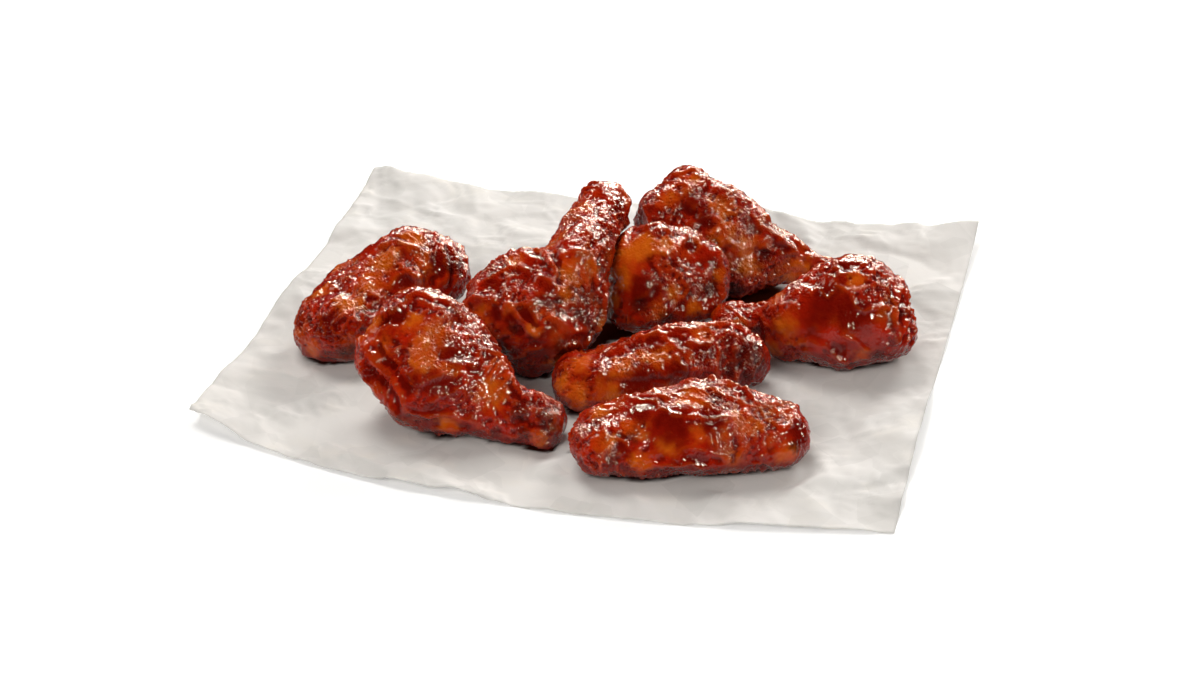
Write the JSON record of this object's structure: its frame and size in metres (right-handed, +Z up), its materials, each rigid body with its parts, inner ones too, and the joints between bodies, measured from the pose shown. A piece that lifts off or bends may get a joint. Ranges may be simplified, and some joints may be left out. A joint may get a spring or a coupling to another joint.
{
  "type": "chicken wings serving",
  "caption": "Serving of glazed chicken wings, drumettes and flats, lying loosely on a crumpled sheet of baking paper.",
  "frame": {"origin": "on the table, under the middle of the whole serving's box", "axes": "+Z up, +X along the sheet's long edge to the right, -Y towards the near edge, which was torn off in a curve"},
  "size_m": [0.2398, 0.215, 0.0478],
  "materials": {
    "glazed_chicken": "wet, sticky dark red glaze over browned skin, mottled orange where it lies thin and almost black where it caught",
    "baking_paper": "matt off-white, crumpled, slightly mottled"
  },
  "bodies": {
    "root": {"paper_sheet": "baking_paper", "flat_left": "glazed_chicken", "drumette_front_left": "glazed_chicken", "drumette_raised": "glazed_chicken", "drumette_centre": "glazed_chicken", "drumette_back": "glazed_chicken", "drumette_right": "glazed_chicken", "flat_middle": "glazed_chicken", "flat_front": "glazed_chicken"}
  },
  "joints": []
}
